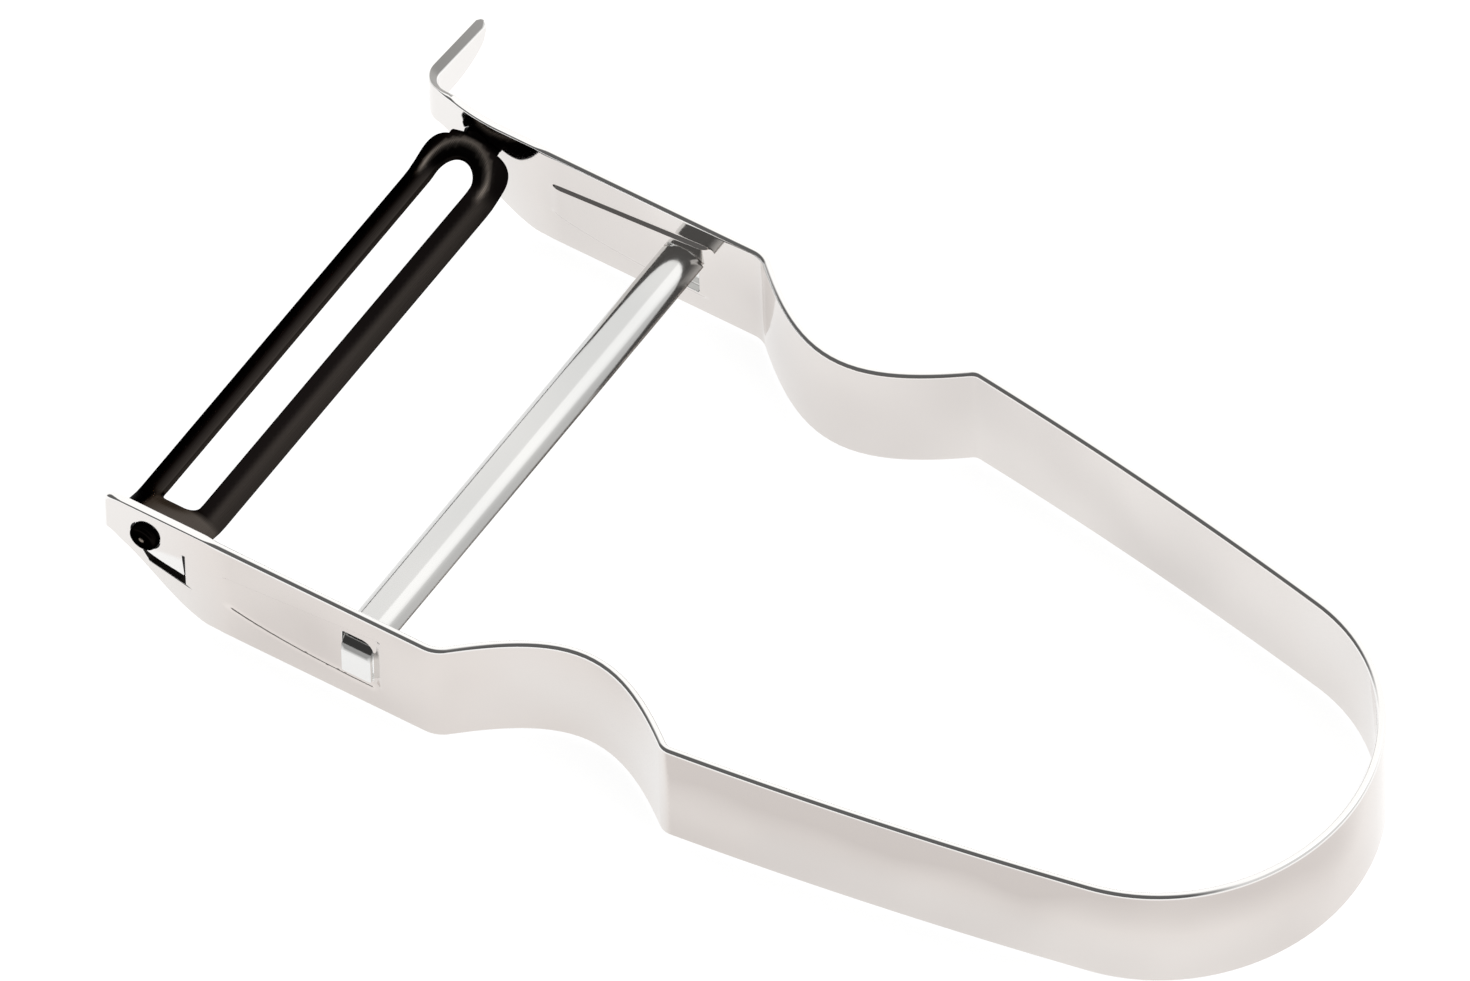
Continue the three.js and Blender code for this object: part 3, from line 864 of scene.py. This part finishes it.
def lathe_parts(profile, side):
    """Vertices and faces of a body turned on the pivot axis from (x, radius) points."""
    rings = [p for p in profile if p[1] > 0]
    angles = np.arange(LATHE_STEPS) * 2 * math.pi / LATHE_STEPS
    vertices = [(side * x, r * math.cos(a), PIVOT_Z + r * math.sin(a)) for x, r in rings for a in angles]
    vertices += [(side * profile[0][0], 0, PIVOT_Z), (side * profile[-1][0], 0, PIVOT_Z)]
    first, last = len(vertices) - 2, len(vertices) - 1
    faces = []
    for i in range(LATHE_STEPS):
        k = (i + 1) % LATHE_STEPS
        faces.append((first, k, i))
        for ring in range(len(rings) - 1):
            a, b = ring * LATHE_STEPS, (ring + 1) * LATHE_STEPS
            faces.append((a + i, a + k, b + k, b + i))
        end = (len(rings) - 1) * LATHE_STEPS
        faces.append((end + i, end + k, last))
    if side < 0:
        faces = [face[::-1] for face in faces]
    return vertices, faces


def new_object(name, vertices, faces, materials, kinds=None, normals=None, places=None, wear_and_painted_light=None):
    mesh = bpy.data.meshes.new(name)
    in_metres = (np.array(vertices) + DRAWING_ORIGIN) * MM
    mesh.from_pydata(in_metres.tolist(), [], [tuple(int(i) for i in face) for face in faces])
    for material in materials:
        mesh.materials.append(material)
    mesh.polygons.foreach_set("use_smooth", [True] * len(faces))
    if kinds is not None:
        mesh.polygons.foreach_set("material_index", kinds)
    if places is not None:
        layer = mesh.uv_layers.new(name="flat")
        corners = np.zeros(len(mesh.loops), int)
        mesh.loops.foreach_get("vertex_index", corners)
        layer.data.foreach_set("uv", (places[corners] * MM).ravel())
    # Per-vertex mask of bare wear, painted highlights and painted shade
    if wear_and_painted_light is not None:
        mesh.attributes.new("wear_and_painted_light", "FLOAT", "POINT").data.foreach_set("value", wear_and_painted_light)
    mesh.validate()
    if normals is None:
        mesh.set_sharp_from_angle(angle=SHARP_ANGLE)
    else:
        mesh.normals_split_custom_set_from_vertices(normals.tolist())
    made = bpy.data.objects.new(name, mesh)
    bpy.context.scene.collection.objects.link(made)
    return made


def sheet_object(name, sheet, materials, wear_and_light_at=None):
    wear_and_painted_light = wear_and_light_at(*sheet.places.T, sheet.rim) if wear_and_light_at else None
    return new_object(
        name, sheet.vertices, sheet.faces, materials, sheet.kinds, sheet.normals, sheet.places, wear_and_painted_light)


def joined(objects):
    """One object from several, under the first one's name."""
    with bpy.context.temp_override(active_object=objects[0], selected_editable_objects=objects):
        bpy.ops.object.join()
    return objects[0]


# Materials

BLOTCH_SCALE = 48.0
BLOTCH_DETAIL = 1.5
LINE_STRETCH = 40.0
LINE_SCALE = 4200.0
LINE_DETAIL = 3.0
LINE_RANGE = (0.3, 0.7)
LINE_DEPTH = 0.00002
# Painted sheen: how far the strip's stains shift toward the bright end at the arm tips
TIP_SHEEN = 0.60


class Nodes:
    """Short way to build a node tree."""

    def __init__(self, tree):
        self.tree = tree
        tree.nodes.clear()

    def add(self, kind, inputs=(), **settings):
        node = self.tree.nodes.new(kind)
        for key, value in settings.items():
            setattr(node, key, value)
        for key, value in dict(inputs).items():
            if isinstance(value, bpy.types.NodeSocket):
                self.tree.links.new(value, node.inputs[key])
            else:
                node.inputs[key].default_value = value
        return node

    def ramp(self, factor, stops):
        node = self.add("ShaderNodeValToRGB", {"Fac": factor})
        elements = node.color_ramp.elements
        while len(elements) < len(stops):
            elements.new(0.5)
        for element, (position, color) in zip(elements, stops):
            element.position = position
            element.color = (*color, 1)
        return node.outputs["Color"]


def new_material(name):
    material = bpy.data.materials.new(name)
    material.use_nodes = True
    return material, Nodes(material.node_tree)


def fine_lines(nodes):
    """Noise laid on the flat sheet, stretched along it into fine lines."""
    flat = nodes.add("ShaderNodeUVMap", uv_map="flat").outputs["UV"]
    mapped = nodes.add("ShaderNodeMapping", {"Vector": flat, "Scale": (1 / LINE_STRETCH, 1, 1)})
    return nodes.add("ShaderNodeTexNoise", {
        "Vector": mapped.outputs["Vector"], "Scale": LINE_SCALE, "Detail": LINE_DETAIL}).outputs["Fac"]


def steel(name, stains, roughness, grain, spread=(0.34, 0.64), sheen_tips=None, bare_or_lit=None, edge_tint=1.0):
    """Sheet steel with soft stains, fine lines along the sheet and a slightly uneven gloss.

    stains are the colours from the dullest to the brightest, over a spread of noise. The tips are the
    places along Y between which they shift toward the bright end, a painted sheen. The mesh's wear and
    painted light attribute turns the steel to its bare or lit colour, for bare rims and for painted
    highlights, and on steel with tips, where it is negative, shifts the stains toward the dull end as
    painted shade."""
    material, nodes = new_material(name)
    place = nodes.add("ShaderNodeTexCoord").outputs["Object"]
    blotch = nodes.add("ShaderNodeTexNoise", {
        "Vector": place, "Scale": BLOTCH_SCALE, "Detail": BLOTCH_DETAIL}).outputs["Fac"]
    wear_and_light = nodes.add("ShaderNodeAttribute", attribute_name="wear_and_painted_light").outputs["Fac"]
    # Painted sheen: the stains shift toward the bright end toward the tips along Y
    if sheen_tips:
        along = nodes.add("ShaderNodeSeparateXYZ", {"Vector": place}).outputs["Y"]
        tip_sheen = nodes.add("ShaderNodeMapRange", {
            "Value": along, "From Min": sheen_tips[0], "From Max": sheen_tips[1],
            "To Min": 0.0, "To Max": TIP_SHEEN}).outputs["Result"]
        # Negative values are painted shade, shifting the stains toward the dull end
        painted_shade = nodes.add("ShaderNodeMath", {0: wear_and_light, 1: 0.0}, operation="MINIMUM").outputs["Value"]
        for shift in (tip_sheen, painted_shade):
            blotch = nodes.add("ShaderNodeMath", {0: blotch, 1: shift}, operation="ADD").outputs["Value"]
    color = nodes.ramp(blotch, list(zip(np.linspace(*spread, len(stains)), stains)))
    # The bare or lit colour: bare rims and painted highlights
    if bare_or_lit:
        mixed = nodes.add("ShaderNodeMix", {"Factor": wear_and_light, 6: color, 7: (*bare_or_lit, 1)}, data_type="RGBA")
        color = mixed.outputs[2]
    lines = fine_lines(nodes)
    gloss = nodes.add("ShaderNodeMapRange", {
        "Value": lines, "From Min": LINE_RANGE[0], "From Max": LINE_RANGE[1],
        "To Min": roughness[0], "To Max": roughness[1]}).outputs["Result"]
    bump = nodes.add("ShaderNodeBump", {"Height": lines, "Strength": grain, "Distance": LINE_DEPTH})
    shader = nodes.add("ShaderNodeBsdfPrincipled", {
        "Base Color": color, "Roughness": gloss, "Normal": bump.outputs["Normal"],
        "Metallic": 1.0, "Specular Tint": (edge_tint, edge_tint, edge_tint, 1)})
    nodes.add("ShaderNodeOutputMaterial", {"Surface": shader.outputs["BSDF"]})
    return material


# Polished strip; its tips get a painted sheen, and its bright colour serves the bare rims and painted
# highlights
BOW_STEEL = steel(
    "polished_strip", [(0.58, 0.535, 0.51), (0.725, 0.68, 0.65), (0.78, 0.755, 0.735)], (0.06, 0.10), 0.06,
    spread=(0.26, 0.94), sheen_tips=(-0.050, -0.063), bare_or_lit=(0.88, 0.875, 0.865))
# Near-black walls of the pivot holes and the stop's cut: painted shade inside the cuts
CUT_SHADE_STEEL = steel("sheared_edge_painted_shade", [(0.020, 0.018, 0.017), (0.045, 0.04, 0.038)], (0.45, 0.65), 0.5)
GROUND_STEEL = steel("ground_bevel", [(0.36, 0.355, 0.345), (0.44, 0.435, 0.425)], (0.30, 0.45), 0.4)
BAR_STEEL = steel(
    "bright_sheet", [(0.60, 0.605, 0.60), (0.66, 0.66, 0.65)], (0.10, 0.16), 0.05, bare_or_lit=(0.84, 0.84, 0.83))
# Tongue: dark colour is painted shade in its bend, and the bright colour is a painted highlight on its flat
# end
TONGUE_SHADE_STEEL = steel(
    "bent_tongue_painted_shade", [(0.24, 0.24, 0.235), (0.30, 0.30, 0.295)], (0.10, 0.16), 0.05, bare_or_lit=(0.84, 0.84, 0.83))
# Black blade; its lighter colour paints the highlights on the blade and on the pin's pip
BLADE_STEEL = steel(
    "blackened_blade", [(0.0035, 0.0028, 0.0026), (0.008, 0.0064, 0.006)], (0.22, 0.32), 0.2,
    bare_or_lit=(0.40, 0.345, 0.30), edge_tint=0.25)


# Pieces

def strip_round(u):
    """Radius of the strip's rims: crisp by the pivots and on the gouger but for its tip, full elsewhere."""
    plan, _ = BOW.at(u)
    by_pivot = between(plan[:, 1], PIVOT_EDGE_FRONT) * (1 - between(plan[:, 1], PIVOT_EDGE_REAR))
    crisp = on_gouger(u) * (1 - smoothstep((u - BOW.length + GOUGE_TIP_EASE) / GOUGE_TIP_EASE))
    arms = STRIP_EDGE_ROUND + (PIVOT_EDGE_ROUND - STRIP_EDGE_ROUND) * by_pivot
    return arms + (GOUGE_EDGE_ROUND - arms) * crisp


# Numbers of the bow's materials, and how many of its holes, the first ones, are sheared and painted dark as
# shade
CUT_SHADE_KIND = 1
GROUND_KIND = 2
SHEARED_HOLES = 3
GROUND_FROM = 0.1


def bow_walls(number, loop):
    """The pivot holes and the stop's cut are sheared, with walls painted near-black as the shade inside
    them, and the gouger's upper edge is ground.
    """
    if number == 0:
        ground = (on_gouger(loop[:, 0]) > GROUND_FROM) & (loop[:, 1] > STRIP_H - GOUGE_TIP_H)
        return [GROUND_KIND if here else 0 for here in ground]
    return [CUT_SHADE_KIND if number <= SHEARED_HOLES else 0] * len(loop)


def bow_rims_and_painted_light(u, v, rim):
    """Bare bright rims; painted highlights on the stop, the near waist and the far side; painted shade on
    the near side behind the shoulder, darker toward its upper edge and lighter low down.
    """
    plan, _ = BOW.at(u)
    x, y = plan.T
    behind = y - ARM_BACK - WAIST_SPAN
    past_shoulder = smoothstep(behind / SHOULDER_TURN)
    # Painted shade: the near side behind the shoulder is darker toward its upper edge and lighter low down
    loop_shade = (LOOP_TOP_SHADE + LOOP_LOW_SHEEN) * between(v, (LOOP_SHADE_LOW, STRIP_H)) - LOOP_LOW_SHEEN
    loop_shade += SHOULDER_SHADE * (1 - smoothstep(behind / SHOULDER_SHADE_LENGTH))
    # Painted highlight on the near waist toward the shoulder
    waist = WAIST_BRIGHT * smoothstep(1 + behind / WAIST_BRIGHT_LENGTH) * (x > 0)
    near = waist * (1 - past_shoulder) - loop_shade * past_shoulder * between(x, LOOP_SHADE_SIDE)
    # Painted highlight on the far side
    faces = near + FAR_BRIGHT * smoothstep(-x / FAR_EASE)
    # Painted highlight on the leaning stop, brighter away from its fold
    stop = (x > ARM_IN) & on_stop(y, v)
    shine = STOP_BRIGHT * smoothstep((stop_hinge(y) - v) / STOP_SHINE_EASE)
    return np.where(rim, 1.0, np.where(stop, shine, faces))


def make_bow():
    sides = (1, -1)
    holes = [*[pivot_hole(side) for side in sides], stop_kerf(), *[bar_slot(side) for side in sides]]
    guides = [*[line for side in sides for line in rib_guides(side)], *stop_guides()]
    rounds = (strip_round, CUT_EDGE_ROUND)
    parts = sheet_parts(
        strip_outline(), holes, STRIP_T, rounds, STRIP_GRID, bow_place, guides, bow_walls)
    bow = sheet_object("bow_sheet", parts, [BOW_STEEL, CUT_SHADE_STEEL, GROUND_STEEL], bow_rims_and_painted_light)
    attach(bow, "frame")
    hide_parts("bow_handle")


def plain_sheet(name, outline, holes, thickness, edge_round, place, material, wear_and_light_at=None, guides=()):
    grid = even_grid(outline, FINE_PITCH)
    rounds = (lambda u: np.full(len(u), edge_round), edge_round)
    sheet = sheet_parts(outline, holes, thickness, rounds, grid, place, guides)
    return sheet_object(name, sheet, [material], wear_and_light_at)


def blade_painted_highlights(u, v, rim):
    """Painted highlights on the black finish: on each bar's rear, on the near end and on the far end's
    crest.
    """
    front = FRONT_BAR_SHEEN * between(v, FRONT_BAR_SHEEN_AT) * (v < 0)
    rear = REAR_BAR_SHEEN * between(v, REAR_BAR_SHEEN_AT)
    near_end = between(u, NEAR_END_AT)
    far_end = 1 - between(u, FAR_END_AT)
    plate = NEAR_END_SHEEN * between(v, NEAR_END_SHEEN_AT)
    crest = CREST_SHEEN * np.exp(-(crest_distance(u, v) / CREST_SHEEN_WIDTH) ** 2)
    return (front + rear) * (1 - near_end) * (1 - far_end) + plate * near_end + crest * far_end


def blade_pin(side):
    vertices, faces = lathe_parts(pin_profile(), side)
    off_axis = np.hypot(*(np.array(vertices)[:, 1:] - (0, PIVOT_Z)).T)
    on_end = np.abs(np.array(vertices)[:, 0]) > ARM_OUT + PIN_PROUD - PIN_MARGIN
    # Painted highlight on the pip of the pin's end
    wear_and_painted_light = np.where(on_end & (off_axis < PIN_PIP + PIN_MARGIN), PIN_PIP_SHEEN, 0.0)
    return new_object("blade_pin", vertices, faces, [BLADE_STEEL], wear_and_painted_light=wear_and_painted_light)


def make_blade():
    blade = plain_sheet("blade_sheet", blade_outline(), [blade_slot()], BLADE_T, BLADE_EDGE_ROUND,
                        blade_place, BLADE_STEEL, blade_painted_highlights, crest_guides())
    blade = joined([blade, blade_pin(1), blade_pin(-1)])
    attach(blade, "blade")
    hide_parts("swivel_blade")


def tongue_painted_highlight(u, v, rim):
    """A painted highlight on the tongue's flat end; its bend keeps the dark colour painted as the shade
    under the slot's upper edge.
    """
    return smoothstep((u - TONGUE.length + TONGUE_FLAT) / TONGUE_SHINE_EASE)


def bar_tongue(side):
    return plain_sheet("bar_tongue", tongue_outline(), [], BAR_T, BAR_EDGE_ROUND,
                       tongue_place(side), TONGUE_SHADE_STEEL, tongue_painted_highlight)


def make_bar():
    bar = plain_sheet("bar_sheet", bar_outline(), [], BAR_T, BAR_EDGE_ROUND, bar_place, BAR_STEEL)
    bar = joined([bar, bar_tongue(1), bar_tongue(-1)])
    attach(bar, "frame")
    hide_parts("cross_bar")


# Studio

FLOOR_HALF = 3.0
FLOOR_GLOW = 0.92
FLOOR_GREY = 0.32
KEY_FROM = Vector((-0.53, 0.30, 0.79))
KEY_DISTANCE = 1.1
KEY_SIZE = 0.60
KEY_POWER = 0.36
FRONT_LEVEL = 1.15
REAR_LEVEL = 0.74
DARK_TO = Vector((0.85, -0.25, 0.45))
DARK_SHARE = 0.11
DARK_FADE = (0.22, 0.60)
REAR_FADE = (0.40, 0.80)


def make_floor():
    mesh = bpy.data.meshes.new("floor")
    f = FLOOR_HALF
    mesh.from_pydata([(-f, -f, 0), (f, -f, 0), (f, f, 0), (-f, f, 0)], [], [(0, 1, 2, 3)])
    floor = bpy.data.objects.new("floor", mesh)
    bpy.context.scene.collection.objects.link(floor)
    material, nodes = new_material("white_floor")
    diffuse = nodes.add("ShaderNodeBsdfDiffuse", {"Color": (FLOOR_GREY, FLOOR_GREY, FLOOR_GREY, 1)})
    path = nodes.add("ShaderNodeLightPath").outputs
    seen = path["Is Camera Ray"]
    for other in ("Is Glossy Ray", "Is Transmission Ray"):
        seen = nodes.add("ShaderNodeMath", {0: seen, 1: path[other]}, operation="MAXIMUM").outputs["Value"]
    strength = nodes.add("ShaderNodeMath", {0: seen, 1: FLOOR_GLOW}, operation="MULTIPLY").outputs["Value"]
    glow = nodes.add("ShaderNodeEmission", {"Color": (1, 1, 1, 1), "Strength": strength})
    both = nodes.add("ShaderNodeAddShader", {0: diffuse.outputs["BSDF"], 1: glow.outputs["Emission"]})
    nodes.add("ShaderNodeOutputMaterial", {"Surface": both.outputs["Shader"]})
    mesh.materials.append(material)
    floor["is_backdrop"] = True


def make_world():
    """Pale surroundings, greyer behind, with a dark part toward +X."""
    world = bpy.data.worlds.new("studio")
    world.use_nodes = True
    bpy.context.scene.world = world
    nodes = Nodes(world.node_tree)
    direction = nodes.add("ShaderNodeTexCoord").outputs["Generated"]
    axes = nodes.add("ShaderNodeSeparateXYZ", {"Vector": direction})

    def fade(socket, low, high, at_low, at_high):
        return nodes.add("ShaderNodeMapRange", {
            "Value": socket, "From Min": low, "From Max": high, "To Min": at_low, "To Max": at_high},
            interpolation_type="SMOOTHSTEP").outputs["Result"]

    to_rear = fade(axes.outputs["Y"], *REAR_FADE, FRONT_LEVEL, REAR_LEVEL)
    toward = nodes.add("ShaderNodeVectorMath", {
        0: direction, 1: DARK_TO.normalized()}, operation="DOT_PRODUCT")
    to_dark = fade(toward.outputs["Value"], *DARK_FADE, 1.0, DARK_SHARE)
    level = nodes.add("ShaderNodeMath", {0: to_rear, 1: to_dark}, operation="MULTIPLY").outputs["Value"]
    background = nodes.add("ShaderNodeBackground", {"Color": (1, 0.99, 0.98, 1), "Strength": level})
    backdrop = nodes.add("ShaderNodeBackground", {"Color": (1, 1, 1, 1), "Strength": 1.0})
    camera_ray = nodes.add("ShaderNodeLightPath").outputs["Is Camera Ray"]
    shown = nodes.add("ShaderNodeMixShader", {
        "Fac": camera_ray, 1: background.outputs["Background"], 2: backdrop.outputs["Background"]})
    nodes.add("ShaderNodeOutputWorld", {"Surface": shown.outputs["Shader"]})


def make_lights():
    light = bpy.data.lights.new("softbox", "AREA")
    light.shape = "SQUARE"
    light.size = KEY_SIZE
    light.energy = KEY_POWER
    lamp = bpy.data.objects.new("softbox", light)
    bpy.context.scene.collection.objects.link(lamp)
    lamp.location = KEY_FROM.normalized() * KEY_DISTANCE
    lamp.rotation_euler = KEY_FROM.to_track_quat("Z", "Y").to_euler()
    lamp.visible_camera = False


# Camera, placed by its angles, the point at the picture's centre and the scale there

AZIMUTH = math.radians(124.096)
ELEVATION = math.radians(50.055)
ROLL = math.radians(-1.662)
AIM = Vector((-2.11, -12.59, 7.5)) * MM
PICTURE_WIDTH_PX = 1470
PX_PER_MM = 9.474
HALF_VIEW = math.radians(1.0)
SENSOR = 36.0


def make_camera():
    data = bpy.data.cameras.new("camera")
    data.sensor_width = SENSOR
    data.lens = SENSOR / 2 / math.tan(HALF_VIEW)
    camera = bpy.data.objects.new("camera", data)
    bpy.context.scene.collection.objects.link(camera)
    distance = PICTURE_WIDTH_PX / PX_PER_MM * MM / 2 / math.tan(HALF_VIEW)
    back = Vector((
        math.sin(AZIMUTH) * math.cos(ELEVATION),
        -math.cos(AZIMUTH) * math.cos(ELEVATION),
        math.sin(ELEVATION)))
    right = (-back).cross(Vector((0, 0, 1))).normalized()
    right = Matrix.Rotation(ROLL, 3, back) @ right
    up = back.cross(right)
    turn = Matrix((right, up, back)).transposed().to_4x4()
    camera.matrix_world = Matrix.Translation(AIM + back * distance) @ turn
    data.clip_start = distance / 10
    data.clip_end = distance * 10
    bpy.context.scene.camera = camera


make_camera()
make_bow()
make_blade()
make_bar()
make_floor()
make_world()
make_lights()
bpy.context.scene.view_settings.view_transform = "Standard"

boxes = {"cad": cad_box, "visual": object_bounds()}
{name: [list(corner) for corner in box] for name, box in boxes.items()}
